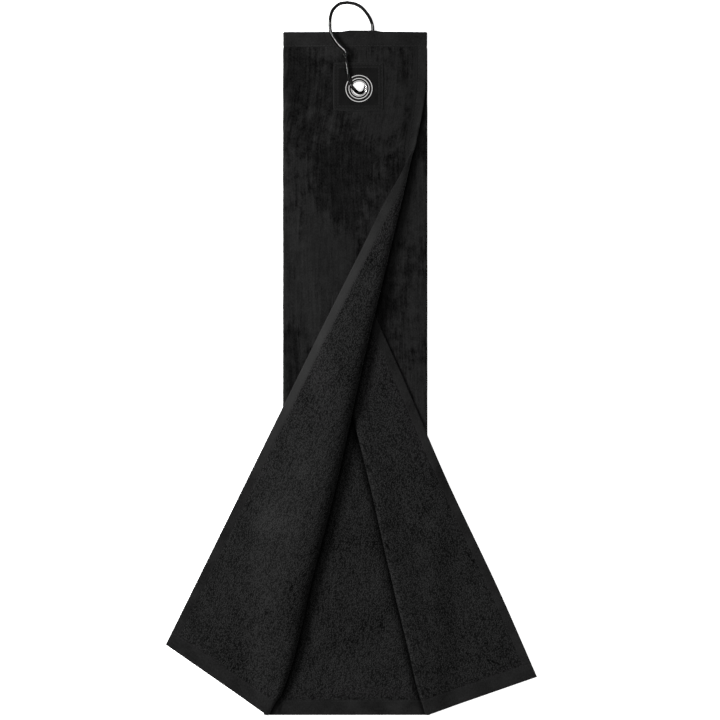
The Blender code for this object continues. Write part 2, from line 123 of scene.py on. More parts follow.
class Curve:
    """A smooth function through (position, value) knots."""

    def __init__(self, *knots):
        knots = sorted(knots)
        self.at = np.array([k[0] for k in knots], float)
        self.value = np.array([k[1] for k in knots], float)
        gap = np.diff(self.at)
        step = np.diff(self.value) / gap
        inner = (step[:-1] * gap[1:] + step[1:] * gap[:-1]) / (gap[1:] + gap[:-1])
        self.slope = np.concatenate([step[:1], inner, step[-1:]])

    def __call__(self, position):
        i = int(np.clip(np.searchsorted(self.at, position) - 1, 0, len(self.at) - 2))
        width = self.at[i + 1] - self.at[i]
        t = (position - self.at[i]) / width
        if t < 0.0:
            return self.value[0] + self.slope[0] * (position - self.at[0])
        if t > 1.0:
            return self.value[-1] + self.slope[-1] * (position - self.at[-1])
        stay = 2 * t ** 3 - 3 * t ** 2 + 1
        leave = t ** 3 - 2 * t ** 2 + t
        arrive = t ** 3 - t ** 2
        return (stay * self.value[i] + (1 - stay) * self.value[i + 1]
                + width * (leave * self.slope[i] + arrive * self.slope[i + 1]))


# Outlines seen from above, as x for each y down the towel.
FRONT_SIDE = Curve((0, 67.4), (-26, 67.4), (-60, 65.6), (-90, 59.8), (-122, 52.8), (-206, 33.0),
                   (-320, 6.0), (-430, -18.2), (-526, -42.6), (-600, -60.6), (-625, -69.8),
                   (-639, -78.5), (-645, -81.0))
FRONT_ROLL = Curve((0, 2.0), (-60, 2.8), (-122, 4.2), (-206, 5.4), (-320, 6.3), (-430, 6.6),
                   (-526, 6.4), (-600, 4.8), (-645, 2.0))
ROLL_REACH = Curve((0, 2.0), (-60, 2.8), (-122, 4.2), (-206, 8.0), (-320, 12.0), (-430, 15.0),
                   (-526, 15.0), (-600, 9.5), (-630, 4.5), (-645, 2.4))
FRONT_EDGE = Curve((-121, 48.8), (-135, 42.6), (-151, 33.2), (-206, 5.6), (-260, -21.6),
                   (-356, -69.2), (-470, -125.4), (-578.5, -179.0))
RIGHT_SIDE = Curve((-87, -67.7), (-370.5, -0.2), (-435, 15.7), (-482, 26.2), (-575, 48.2),
                   (-629, 61.4), (-645, 66.4))
RIGHT_ROLL = Curve((-87, 2.15), (-370, 2.6), (-450, 4.2), (-570, 4.2), (-625, 2.6),
                   (-645, 2.0))
RIGHT_EDGE = Curve((-87, -63.2), (-272, 20.6), (-320, 42.4), (-417, 84.0), (-534, 139.0),
                   (-609, 171.8))


def hinge_of(name):
    """A flap's hinge line as its x at any y, a point on it and its direction, from the record."""
    joint = next(j for j in frame["joints"] if j["name"] == name)
    axis = Vector(joint["axis"]).normalized()
    x, y, _ = plan(joint["pos_m"])
    return (lambda at: x + (at - y) * axis.x / axis.y), Vector(joint["pos_m"]), axis


front_hinge_x, front_hinge_point, front_hinge_axis = hinge_of("front_flap_lift")
right_hinge_x, right_hinge_point, right_hinge_axis = hinge_of("right_flap_lift")


def beside(curve, x, y):
    """Distance of a plan point to the right of an outline."""
    slope = (curve(y + 1.0) - curve(y - 1.0)) / 2.0
    return (x - curve(y)) / math.hypot(1.0, slope)


def covers(outside, ramp=FALL):
    """1 over a layer and 0 well outside it, for a cloth that sinks past its edge."""
    return 1.0 - smooth((outside - LEDGE) / ramp)


def ripple(x, y):
    """Soft unevenness of cloth laid out by hand, in millimetres, never negative."""
    return 0.5 + 0.5 * noise.noise(Vector((x / 45.0, y / 60.0, 3.7)))


def free_of_top(y):
    """0 at the eyelet, where the layers are clamped together, 1 further down."""
    return smooth((-80.0 - y) / 60.0)


# Heights of each layer's underside.

def lift(x, y):
    """Height of the soft bulge round the eyelet."""
    over_x = 1.0 - smooth((abs(x - LIFT_MIDDLE) - LIFT_HALF) / LIFT_FALL)
    over_y = 1.0 - smooth((LIFT_END - y) / LIFT_END_FALL)
    return LIFT * over_x * over_y


def right_height(x, y):
    return lift(x, y) + STEP + 0.3 * ripple(x, y) * free_of_top(y)


def turned_right_height(x, y):
    soft = 0.5 * ripple(x, y) * free_of_top(y)
    return (lift(x, y) + 2 * STEP + soft) * covers(x - HALF_WIDTH, 26.0)


def front_height(x, y):
    on_right = covers(-beside(RIGHT_SIDE, x, y))
    outside = max(-beside(RIGHT_SIDE, x, y), beside(RIGHT_EDGE, x, y))
    soft = 0.9 * ripple(x, y) * free_of_top(y)
    return lift(x, y) + STEP * (1.0 + on_right) + (STEP + 0.4) * covers(outside) + soft


def front_crown(y):
    """x, floor and underside height of the front roll's top line."""
    radius = FRONT_ROLL(y)
    x = FRONT_SIDE(y) - ROLL_REACH(y)
    floor = front_height(x + 0.4 * radius, y)
    return x, floor, floor + 2 * (radius - MID)


def front_flap_height(x, y):
    crown_x, _, crown_z = front_crown(y)
    stack = front_height(max(x, -HALF_WIDTH), y) + STEP + 0.2
    rest = stack * covers(-HALF_WIDTH - x, 30.0) + 0.5 * ripple(x + 90.0, y)
    return mix(crown_z, rest, smooth((crown_x - x) / (20.0 + 5.0 * FRONT_ROLL(y))))


def right_crown(y):
    radius = RIGHT_ROLL(y)
    x = RIGHT_SIDE(y) + radius
    floor = right_height(x, y)
    return x, floor, floor + 2 * (radius - MID)


def right_flap_height(x, y):
    crown_x, _, crown_z = right_crown(y)
    rest = turned_right_height(x, y) + 0.4 * ripple(x, y + 80.0) * covers(HALF_WIDTH - x, 40.0)
    return mix(crown_z, rest, smooth((x - crown_x) / 24.0))


def fold_left(y):
    """The left fold, pushed out where the roll's lower end reaches past it."""
    return min(-HALF_WIDTH, FRONT_SIDE(y) - ROLL_REACH(y) - 3.2)


def shares(count):
    """Even steps after 0, up to 1."""
    return [k / count for k in range(1, count + 1)]


FOLD_SAMPLES = 12
ROLL_SAMPLES = 32


def section(y):
    """One line across the whole cloth, from the front layer's free edge to the right layer's.

    Gives the points and the place along them, in millimetres, of each fold.
    """
    points = []
    marks = {}
    crown_x, floor, _ = front_crown(y)
    bend = FRONT_ROLL(y) - MID
    if y < EDGE_TURNED:
        down = (y - EDGE_TURNED) / (-LENGTH - EDGE_TURNED)
        edge_y = mix(EDGE_TURNED, FRONT_CORNER, down)
        edge_x = FRONT_EDGE(edge_y)
        for t in (0.0, *shares(41)[:-1]):
            x, at = mix(edge_x, crown_x, t), mix(edge_y, y, t)
            points.append((x, at, front_flap_height(x, at) + MID))
        turned = math.pi
    else:
        turned = math.pi * (0.45 * smooth((EDGE_LIFTS - y) / 62.0)
                            + 0.55 * smooth((EDGE_TURNED + 14.0 - y) / 14.0))
    marks["crown"] = len(points)
    reach = mix(FRONT_ROLL(y), math.pi * bend, turned / math.pi)
    wide = (ROLL_REACH(y) - MID) / bend
    for t in (0.0, *shares(ROLL_SAMPLES)):
        run = reach * (1.0 - t)
        turn = turned * (1.0 - t)
        if turned > 0.02:
            out, up = math.sin(turn) * reach / turned, (1.0 - math.cos(turn)) * reach / turned
        else:
            out, up = run, 0.0
        points.append((crown_x + out * wide, y, floor + MID + up))
        if turn > math.pi / 2 and points[-1][0] < front_hinge_x(y):
            marks["crown"] = len(points) - 1
    marks["floor"] = len(points) - 1
    fold = fold_left(y)
    high = front_height(max(fold, -HALF_WIDTH) + STEP, y) + MID
    half = (high - MID) / 2
    centre = fold + MID + half
    for t in shares(70):
        x = mix(crown_x, centre, t)
        settled = front_height(max(x, -HALF_WIDTH + STEP), y)
        points.append((x, y, mix(floor, settled, smooth((crown_x - x) / 10.0)) + MID))
    marks["left"] = len(points) - 1
    for t in shares(FOLD_SAMPLES):
        turn = math.pi * t
        points.append((centre - half * math.sin(turn), y, MID + half + half * math.cos(turn)))
    marks["back"] = len(points) - 1
    crown_x = right_crown(y)[0]
    turned_back = y < RIGHT_STARTS
    half = STEP / 2
    right = HALF_WIDTH - MID - half
    if turned_back:
        right = max(right, crown_x + 0.6)
    for t in shares(60):
        x = mix(centre, right, t)
        points.append((x, y, lift(x, y) + MID))
    marks["right"] = len(points) - 1
    for t in shares(FOLD_SAMPLES):
        turn = math.pi * t
        points.append((right + half * math.sin(turn), y, MID + half - half * math.cos(turn)))
    marks["run"] = len(points) - 1
    end = crown_x if turned_back else HIDDEN_EDGE
    for t in shares(50):
        x = mix(right, end, t)
        settle = smooth((right - x) / 6.0)
        points.append((x, y, mix(STEP, right_height(x, y), settle) + MID))
    for name in ("right_crown", "over", "hinge"):
        marks[name] = len(points) - 1
    if turned_back:
        bend = RIGHT_ROLL(y) - MID
        base = points[-1][2]
        for t in shares(ROLL_SAMPLES // 2):
            out, up = bend * math.sin(math.pi * t), bend * (1.0 - math.cos(math.pi * t))
            points.append((crown_x - out, y, base + up))
        marks["over"] = len(points) - 1
        down = (y - RIGHT_STARTS) / (-LENGTH - RIGHT_STARTS)
        edge_y = mix(RIGHT_STARTS, RIGHT_CORNER, down)
        edge_x = RIGHT_EDGE(edge_y)
        passed = None
        for t in shares(60):
            x, at = mix(crown_x, edge_x, t), mix(y, edge_y, t)
            points.append((x, at, right_flap_height(x, at) + MID))
            if passed is None and x > right_hinge_x(at):
                passed = len(points) - 1
        marks["hinge"] = passed or len(points) - 1
    return np.array(points), marks


ROW_STEP = 2.6      # in millimetres


def rows():
    """Heights of the rows down the towel, close together at both ends."""
    end = [0.0, 0.12, 0.4, 0.9, 1.8, 3.2, 5.4, 8.0, 10.6, 12.6, 13.7, END_HEM]
    count = round((LENGTH - 2 * END_HEM) / ROW_STEP)
    inner = [mix(END_HEM, LENGTH - END_HEM, k / count) for k in range(count + 1)]
    inner = [END_HEM, END_HEM + 0.5, END_HEM + 1.3, *inner[1:-1],
             LENGTH - END_HEM - 1.3, LENGTH - END_HEM - 0.5, LENGTH - END_HEM]
    far = [LENGTH - k for k in reversed(end)]
    return [-k for k in end[:-1] + inner + far[1:]], len(end) - 1


ZONES = (                # the stretches of a row, from the front layer's free edge, and their columns
    ("front_side", 12),
    ("front_flap", 52),
    ("roll", 14),
    ("front", 58),
    ("left_fold", 10),
    ("back", 64),
    ("right_fold", 8),
    ("run", 44),
    ("right_roll", 12),
    ("over", 14),
    ("right_flap", 48),
    ("right_side", 12),
)
EDGE_STEPS = (0.0, 0.12, 0.4, 0.9, 1.8, 3.0, 4.2, 5.4, 6.4, 7.2, 7.8, 8.15, SIDE_HEM)


def build_grid():
    """The cloth's middle surface as rows by columns, with its normals and flat positions.

    Also gives where the front flap and the right flap start along each row, and the row's length.
    """
    levels, hem_rows = rows()
    count = sum(z[1] for z in ZONES) + 1
    middle = np.zeros((len(levels), count, 3))
    tangent = np.zeros((len(levels), count, 3))
    flat = np.zeros((len(levels), count, 2))
    inner_edge = np.zeros((len(levels), 2))
    widths = np.zeros(len(levels))
    starts = {}
    for r, y in enumerate(levels):
        points, marks = section(y)
        step = np.linalg.norm(np.diff(points, axis=0), axis=1)
        at = np.concatenate([[0.0], np.cumsum(step)])
        total = at[-1]
        last = total - SIDE_HEM

        cuts = [0.0, SIDE_HEM]
        for name in ("crown", "floor", "left", "back", "right", "run", "right_crown", "over",
                     "hinge"):
            cuts.append(min(max(at[marks[name]], cuts[-1]), last))
        cuts += [last, total]
        where = [0.0]
        for (name, columns), low, high in zip(ZONES, cuts, cuts[1:]):
            starts[name] = len(where) - 1
            if name == "front_side":
                where += list(EDGE_STEPS[1:])
            elif name == "right_side":
                where += [total - s for s in reversed(EDGE_STEPS[:-1])]
            else:
                where += [mix(low, high, k / columns) for k in range(1, columns + 1)]
        where = np.array(where)
        direction = np.gradient(points, at, axis=0)
        for axis in range(3):
            middle[r, :, axis] = np.interp(where, at, points[:, axis])
            tangent[r, :, axis] = np.interp(where, at, direction[:, axis])
        flat[r, :, 0] = where
        flat[r, :, 1] = -y
        inner_edge[r] = cuts[2], cuts[10]
        widths[r] = total
    starts["end"] = count - 1
    downward = np.gradient(middle, axis=0)
    normal = np.cross(tangent, downward)
    normal /= np.linalg.norm(normal, axis=2, keepdims=True)
    return levels, hem_rows, starts, middle, normal, flat, inner_edge, widths


levels, hem_rows, starts, middle, normal, flat, inner_edge, widths = build_grid()
first_body = hem_rows
last_body = len(levels) - 1 - hem_rows
depth = np.array([-y for y in levels])[:, None]
from_side = np.minimum(flat[:, :, 0], widths[:, None] - flat[:, :, 0])
from_end = np.broadcast_to(np.minimum(depth, LENGTH - depth), from_side.shape)


def ease(t):
    t = np.clip(t, 0.0, 1.0)
    return t * t * (3.0 - 2.0 * t)


PILE_RISE = 1.8          # the pile reaches its full height this far in from a seam
HALF_WOVEN = 0.7
SEAM_GROOVE = 0.22
EDGE_ROUND = 0.9


def half_thickness(pile_from):
    """Half the cloth's thickness on one face, whose pile starts that far from the side."""
    pile_in = np.minimum(from_side - pile_from, from_end - END_HEM) / PILE_RISE
    half = mix(HALF_SEAM, HALF_PILE, ease(pile_in))
    end = from_end < END_HEM
    side = ~end & (from_side < SIDE_HEM)
    groove = SEAM_GROOVE * np.exp(-((from_side - SIDE_HEM + 0.9) / 0.55) ** 2)
    end_groove = SEAM_GROOVE * np.exp(-((from_end - END_HEM + 1.1) / 0.6) ** 2)
    near = np.where(end, END_HEM - from_end, SIDE_HEM - from_side)
    hem = mix(HALF_SEAM, HALF_HEM, ease(near / 1.0)) - np.where(end, end_groove, groove)
    half = np.where(end | side, hem, half)
    woven = ~end & ~side & (from_side < pile_from)
    half = np.where(woven, HALF_WOVEN, half)
    edge = np.minimum(from_side, from_end) / EDGE_ROUND
    return half * np.sqrt(np.clip(1.0 - (1.0 - np.clip(edge, 0.0, 1.0)) ** 2, 0.004, 1.0))


velour_half = half_thickness(WOVEN_EDGE)
terry_half = half_thickness(SIDE_HEM)


def wander(scale_x, scale_y, seed):
    """Smooth noise over the flat cloth."""
    field = np.zeros(flat.shape[:2])
    for r in range(flat.shape[0]):
        for c in range(flat.shape[1]):
            at = Vector((flat[r, c, 0] / scale_x, flat[r, c, 1] / scale_y, seed))
            field[r, c] = noise.noise(at)
    return field


PUCKER = 0.20
UNEVEN = 0.16
WIRE_BUMP = 1.2

# Puckers along the seams and a slight unevenness everywhere.
seam = np.exp(-((from_side - SIDE_HEM) / 4.0) ** 2)
end_seam = np.exp(-((from_end - END_HEM) / 5.0) ** 2)
pucker = PUCKER * (seam * wander(30.0, 4.2, 1.0) + end_seam * wander(4.2, 30.0, 5.0))
uneven = UNEVEN * wander(15.0, 21.0, 9.0)
middle = middle + normal * (pucker + uneven)[:, :, None] * ease(depth / 20.0 + 0.2)[:, :, None]
# The hook's wire behind the top edge pushes it up a little.
over_wire = ease((20.0 - np.abs(middle[:, :, 0] - 6.5)) / 9.0)
middle[:, :, 1] += WIRE_BUMP * over_wire * (1.0 - ease(depth / 7.0))
velour_face = middle + normal * velour_half[:, :, None]
terry_face = middle - normal * terry_half[:, :, None]

hole = next(j for j in frame["joints"] if j["name"] == "hook_swing")["pos_m"]
HOLE_X, HOLE_Y, _ = plan(hole)
HOLE_CLEAR = 6.95        # the cloth's cut edge lies outside this, under the eyelet's flange
PLEAT_X = -70.8          # a small pleat in the bottom hem, where the roll ends, painted as a dark shade line
PLEAT_WIDE = 1.2
BESIDE_FRONT = 2.6       # how far the painted crease shade reaches beside the front roll
BESIDE_RIGHT = 4.0       # and beside the right roll


def paint_crease_shade():
    """Painted shade: how dark the cloth is painted on the front roll's shaded side, in the creases
    beside the front roll and the right roll, and along the bottom hem's pleat.
    """
    painted_crease_shade = np.zeros(flat.shape[:2])
    for r, y in enumerate(levels):
        for c in range(starts["front_flap"], starts["front"]):
            x, at = middle[r, c, 0], middle[r, c, 1]
            if at < EDGE_TURNED:
                share = mix(0.15, 0.72, smooth((EDGE_TURNED - at) / 200.0))
                painted_crease_shade[r, c] = share * (1.0 - smooth(-beside(FRONT_SIDE, x, at)
                                                      / (0.9 * ROLL_REACH(at))))
        for c in range(starts["back"], starts["end"]):
            x, at = middle[r, c, 0], middle[r, c, 1]
            beside_front = max(0.0, beside(FRONT_SIDE, x, at))
            painted_crease_shade[r, c] = math.exp(-(beside_front / BESIDE_FRONT) ** 2)
            if at < END_HEM - LENGTH and c < starts["right_fold"]:
                painted_crease_shade[r, c] += math.exp(-((x - PLEAT_X) / PLEAT_WIDE) ** 2)
            if c < starts["right_fold"] and at < RIGHT_STARTS:
                beside_right = max(0.0, -beside(RIGHT_SIDE, x, at))
                share = math.exp(-(beside_right / BESIDE_RIGHT) ** 2)
                painted_crease_shade[r, c] = max(painted_crease_shade[r, c], share)
    return painted_crease_shade


painted_crease_shade = paint_crease_shade()


def to_world(points):
    points = np.asarray(points, float) * MM
    points[..., 0] += FOLD_X
    points[..., 1] += TOP_Y
    return points


def set_smooth(obj):
    for polygon in obj.data.polygons:
        polygon.use_smooth = True
    return obj


def make_object(name, vertices, faces):
    mesh = bpy.data.meshes.new(name)
    mesh.from_pydata([tuple(v) for v in vertices], [], faces)
    mesh.validate()
    obj = bpy.data.objects.new(name, mesh)
    bpy.context.scene.collection.objects.link(obj)
    return obj


def mark(obj, name, values):
    """Gives each vertex a number that a material can read."""
    obj.data.attributes.new(name, "FLOAT", "POINT").data.foreach_set("value", values)


def tidy_mesh(obj, merge=1e-6, crease=math.radians(48.0)):
    """Joins coincident vertices, turns faces outwards and keeps sharp edges sharp."""
    work = bmesh.new()
    work.from_mesh(obj.data)
    bmesh.ops.remove_doubles(work, verts=work.verts, dist=merge)
    bmesh.ops.dissolve_degenerate(work, edges=work.edges, dist=merge)
    loose = [v for v in work.verts if not v.link_faces]
    bmesh.ops.delete(work, geom=loose, context="VERTS")
    for face in work.faces:
        face.smooth = True
    for edge in work.edges:
        if len(edge.link_faces) == 2 and edge.calc_face_angle(0.0) > crease:
            edge.smooth = False
    work.to_mesh(obj.data)
    work.free()


def closed(quads, count):
    """Faces of a slab: its top's faces, the same below it, and the sides along open edges."""
    used = {(quad[k - 1], quad[k]) for quad in quads for k in range(len(quad))}
    faces = list(quads) + [tuple(count + k for k in reversed(quad)) for quad in quads]
    faces += [(b, a, count + a, count + b) for a, b in used if (b, a) not in used]
    return faces


def cloth_piece(name, rows_from, rows_to, columns_from, columns_to):
    """A closed piece of the cloth between two rows and two columns of the grid."""
    part = slice(rows_from, rows_to + 1), slice(columns_from, columns_to + 1)
    down, across = middle[part].shape[:2]
    away = np.hypot(middle[part][:, :, 0] - HOLE_X, middle[part][:, :, 1] - HOLE_Y)
    upper = to_world(velour_face[part]).reshape(-1, 3)
    lower = to_world(terry_face[part]).reshape(-1, 3)
    place = flat[part].reshape(-1, 2)
    count = len(upper)
    same = list(range(count))
    for a in range(count):
        if a % across and place[a][0] - place[a - 1][0] < 1e-4:
            same[a] = same[a - 1]
    quads = []
    for r in range(down - 1):
        for c in range(across - 1):
            a = r * across + c
            if away[r:r + 2, c:c + 2].min() < HOLE_CLEAR:
                continue
            corners = [same[k] for k in (a, a + across, a + across + 1, a + 1)]
            corners = [k for i, k in enumerate(corners) if k != corners[i - 1]]
            if len(set(corners)) > 2:
                quads.append(tuple(corners))
    obj = make_object(name, np.concatenate([upper, lower]), closed(quads, count))
    mark(obj, "velour", np.repeat([1.0, 0.0], count))
    # Painted crease shade, which the materials darken the cloth with
    mark(obj, "painted_crease_shade", np.tile(painted_crease_shade[part].ravel(), 2))
    both = np.concatenate([place, place]) * MM
    spread = obj.data.attributes.new("cloth", "FLOAT_VECTOR", "POINT")
    spread.data.foreach_set("vector", np.c_[both, np.zeros(len(both))].ravel())
    tidy_mesh(obj)
    return obj


flap_rows = [r for r in range(len(levels)) if inner_edge[r, 0] > SIDE_HEM + 0.02]
front_apex = flap_rows[0] - 1
open_rows = [r for r in range(len(levels)) if inner_edge[r, 1] < widths[r] - SIDE_HEM - 0.02]
right_apex = open_rows[0] - 1
last_row = len(levels) - 1
end = starts["end"]

front_flap, roll = starts["front_flap"], starts["roll"]
right_flap, right_side = starts["right_flap"], starts["right_side"]

# Each piece with its body, its first and last row, its first and last column, and the CAD nodes
# that it stands for.
CLOTH = (
    ("towel_cloth", "towel", (first_body, last_body, roll, right_flap),
     ("back_panel", "right_panel", "front_panel", "right_roll", "front_roll")),
    ("front_flap_cloth", "front_flap", (front_apex, last_body, front_flap, roll),
     ("front_flap",)),
    ("right_flap_cloth", "right_flap", (right_apex, last_body, right_flap, right_side),
     ("right_flap",)),
)
HEMS = (
    ("towel_top_hem", "towel", (0, first_body, 0, end),
     ("back_top_hem", "right_top_hem", "front_top_hem")),
    ("towel_bottom_hem", "towel", (last_body, last_row, roll, right_flap),
     ("back_bottom_hem",)),
    ("towel_front_edge_hem", "towel", (first_body, front_apex, 0, front_flap),
     ("front_side_hem",)),
    ("towel_right_edge_hem", "towel", (first_body, right_apex, right_side, end),
     ("right_side_hem", "right_roll_side_hem")),
    ("front_flap_corner_hem", "front_flap", (last_body, last_row, 0, roll),
     ("front_flap_bottom_hem",)),
    ("front_flap_edge_hem", "front_flap", (front_apex, last_body, 0, front_flap),
     ("front_flap_side_hem",)),
    ("right_flap_corner_hem", "right_flap", (last_body, last_row, right_flap, end),
     ("right_flap_bottom_hem",)),
    ("right_flap_edge_hem", "right_flap", (right_apex, last_body, right_side, end),
     ("right_flap_side_hem",)),
)
pieces = {name: cloth_piece(name, *span) for name, _, span, _ in CLOTH + HEMS}

# Stitching: short raised threads that dip into the cloth at both ends.
STITCH = 3.0             # length of a stitch
STITCH_RISE = 0.16
THREAD = 0.2             # radius of the thread


def tube_faces(rings, sides, first=0):
    """Faces of a tube through rings of vertices, closed at both ends."""
    faces = []
    for r in range(rings - 1):
        for s in range(sides):
            a, b = first + r * sides + s, first + r * sides + (s + 1) % sides
            faces.append((a, b, b + sides, a + sides))
    faces.append(tuple(first + s for s in reversed(range(sides))))
    faces.append(tuple(first + (rings - 1) * sides + s for s in range(sides)))
    return faces


def stitch_row(line):
    """Vertices and faces of one stitch after another along a line of points and outward ways."""
    points, outward = line
    step = np.linalg.norm(np.diff(points, axis=0), axis=1)
    at = np.concatenate([[0.0], np.cumsum(step)])
    count = int(at[-1] // STITCH)
    if count < 1:
        return [], []
    rings, sides = 5, 5
    vertices, faces = [], []
    for k in range(count):
        where = (k + 0.12 + 0.76 * np.linspace(0.0, 1.0, rings)) * STITCH
        core = np.stack([np.interp(where, at, points[:, i]) for i in range(3)], axis=1)
        up = np.stack([np.interp(where, at, outward[:, i]) for i in range(3)], axis=1)
        along = np.gradient(core, axis=0)
        along /= np.linalg.norm(along, axis=1, keepdims=True) + 1e-12
        sideways = np.cross(along, up)
        arch = np.sin(np.linspace(0.0, math.pi, rings))
        core = core + up * (STITCH_RISE * (arch * 1.9 - 0.9))[:, None]
        radius = THREAD * (0.55 + 0.45 * arch)
        base = len(vertices)
        for r in range(rings):
            for s in range(sides):
                turn = 2 * math.pi * s / sides
                vertices.append(core[r] + radius[r] * (math.cos(turn) * sideways[r]
                                                       + math.sin(turn) * up[r]))
        faces += tube_faces(rings, sides, base)
    return vertices, faces


def stitched(name, lines):
    """One piece with a row of stitches along each line."""
    vertices, faces = [], []
    for line in lines:
        more, joined = stitch_row(line)
        faces += [tuple(len(vertices) + k for k in face) for face in joined]
        vertices += more
    return set_smooth(make_object(name, to_world(vertices), faces))


SEAM_COLUMN = 9          # the row of stitches runs between this side-hem column and the next
SEAM_ROW = 9


def down_line(side, rows_from, rows_to, right=False):
    """A line of stitches along a side hem, on its velour or terry face."""
    a, b = (end - SEAM_COLUMN, end - SEAM_COLUMN - 1) if right else (SEAM_COLUMN, SEAM_COLUMN + 1)
    face = velour_face if side > 0 else terry_face
    pick = slice(rows_from, rows_to + 1)
    return (face[pick, a] + face[pick, b]) / 2, side * normal[pick, a]


def cross_line(side, columns_from, columns_to, bottom=False):
    """A line of stitches across the cloth, along the top hem or the bottom hem."""
    a, b = (last_row - SEAM_ROW, last_row - SEAM_ROW - 1) if bottom else (SEAM_ROW, SEAM_ROW + 1)
    face = velour_face if side > 0 else terry_face
    pick = slice(columns_from, columns_to + 1)
    points = (face[a, pick] + face[b, pick]) / 2
    keep = np.concatenate([[True], np.linalg.norm(np.diff(points, axis=0), axis=1) > 1e-4])
    return points[keep], side * normal[a, pick][keep]


BOTH = (1, -1)
THREADS = (
    ("towel_top_stitches", "towel", [cross_line(s, 0, end) for s in BOTH],
     ("front_top_thread",)),
    ("towel_bottom_stitches", "towel", [cross_line(s, roll, right_flap, True) for s in BOTH],
     ("back_bottom_thread",)),
    ("towel_side_stitches", "towel", [down_line(s, first_body - 1, front_apex) for s in BOTH]
     + [down_line(s, first_body - 1, right_apex, True) for s in BOTH],
     ("front_side_thread",)),
    ("front_flap_edge_stitches", "front_flap",
     [down_line(s, front_apex, last_body + 1) for s in BOTH],
     ("front_flap_side_thread",)),
    ("front_flap_corner_stitches", "front_flap", [cross_line(s, 0, roll, True) for s in BOTH],
     ("front_flap_bottom_thread",)),
    ("right_flap_edge_stitches", "right_flap",
     [down_line(s, right_apex, last_body + 1, True) for s in BOTH],
     ("right_flap_side_thread",)),
    ("right_flap_corner_stitches", "right_flap",
     [cross_line(s, right_flap, end, True) for s in BOTH],
     ("right_flap_bottom_thread",)),
)
pieces.update({name: stitched(name, lines) for name, _, lines, _ in THREADS})

# The patch sewn on around the eyelet.
patch_low, patch_high = (plan(corner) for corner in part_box("grommet_patch"))
patch_x, patch_y = ((low + high) / 2 for low, high in zip(patch_low[:2], patch_high[:2]))
patch_wide, patch_tall = ((high - low) / 2 for low, high in zip(patch_low[:2], patch_high[:2]))
PATCH_THICK = 0.8
PATCH_HALF = 23.5
PATCH_SEAMS = (2.2, 5.0)     # both rows of stitches, in from the edge
SEAM_DIP = 0.16


def cloth_top(x, y):
    return front_height(x, y) + MID + HALF_PILE


def patch_surface(u, v):
    """A plan point of the patch for u and v from -1 to 1, with rounded, slightly wavy sides."""
    x = patch_x + patch_wide * u
    y = patch_y + patch_tall * v
    pull = 0.045 * (u * v) ** 6
    x -= pull * u * 24.0
    y -= pull * v * 24.0
    x += 0.25 * noise.noise(Vector((y / 7.0, 4.0, u))) * abs(u) ** 4
    y += 0.25 * noise.noise(Vector((x / 7.0, 8.0, v))) * abs(v) ** 4
    return x, y


def make_patch():
    count = 60
    share = [-math.cos(math.pi * k / count) * 0.45 + (2 * k / count - 1) * 0.55
             for k in range(count + 1)]
    upper, lower, quads, raised = [], [], [], []
    across = count + 1
    for v in share:
        for u in share:
            x, y = patch_surface(u, v)
            edge = min(1.0 - abs(u), 1.0 - abs(v)) * PATCH_HALF
            dip = sum(SEAM_DIP * math.exp(-((edge - seam) / 0.7) ** 2) for seam in PATCH_SEAMS)
            round_off = math.sqrt(max(0.0, 1.0 - (1.0 - min(1.0, edge / 0.8)) ** 2))
            rise = PATCH_THICK * round_off - dip
            rise += 0.10 * noise.noise(Vector((x / 5.0, y / 5.0, 2.0)))
            raised.append(math.exp(-((edge - 0.9) / 0.8) ** 2)
                          + 0.7 * math.exp(-((edge - 4.0) / 0.7) ** 2))
            top = cloth_top(x, y)
            upper.append((x, y, top + rise))
            lower.append((x, y, top - 0.15))
    for r in range(count):
        for c in range(count):
            a = r * across + c
            quad = (a, a + 1, a + across + 1, a + across)
            if min(math.dist(upper[k][:2], (HOLE_X, HOLE_Y)) for k in quad) >= HOLE_CLEAR:
                quads.append(quad)
    obj = make_object("eyelet_patch", to_world(upper + lower), closed(quads, len(upper)))
    mark(obj, "ridge", raised + [0.0] * len(lower))
    tidy_mesh(obj)
    return obj


def patch_frame(inset):
    """A line of stitches round the patch, that far inside its edge."""
    u, v = 1.0 - inset / patch_wide, 1.0 - inset / patch_tall
    corners = ((-u, -v), (u, -v), (u, v), (-u, v), (-u, -v))
    points = []
    for (u0, v0), (u1, v1) in zip(corners, corners[1:]):
        for k in range(24):
            x, y = patch_surface(mix(u0, u1, k / 24), mix(v0, v1, k / 24))
            points.append((x, y, cloth_top(x, y) + PATCH_THICK - 0.12))
    points.append(points[0])
    points = np.array(points)
    return points, np.tile([0.0, 0.0, 1.0], (len(points), 1))


patch = make_patch()
patch_stitches = stitched("patch_stitches", [patch_frame(inset) for inset in PATCH_SEAMS])


# Eyelet, washer and hook.

def lathe(name, profile, around=96):
    """A ring turned about the eyelet's axis from (radius, z) points, closed on itself."""
    vertices, faces = [], []
    count = len(profile)
    for k in range(around):
        turn = 2 * math.pi * k / around
        for radius, z in profile:
            vertices.append((HOLE_X + radius * math.cos(turn), HOLE_Y + radius * math.sin(turn), z))
    for k in range(around):
        for p in range(count):
            a, b = k * count + p, k * count + (p + 1) % count
            c, d = (k + 1) % around * count + p, (k + 1) % around * count + (p + 1) % count
            faces.append((a, c, d, b))
    obj = make_object(name, to_world(vertices), faces)
    tidy_mesh(obj, crease=math.radians(22.0))
    return obj


def arc(centre_r, centre_z, radius_r, radius_z, start, stop, count):
    points = []
    for k in range(count + 1):
        turn = math.radians(mix(start, stop, k / count))
        points.append((centre_r + radius_r * math.cos(turn), centre_z + radius_z * math.sin(turn)))
    return points


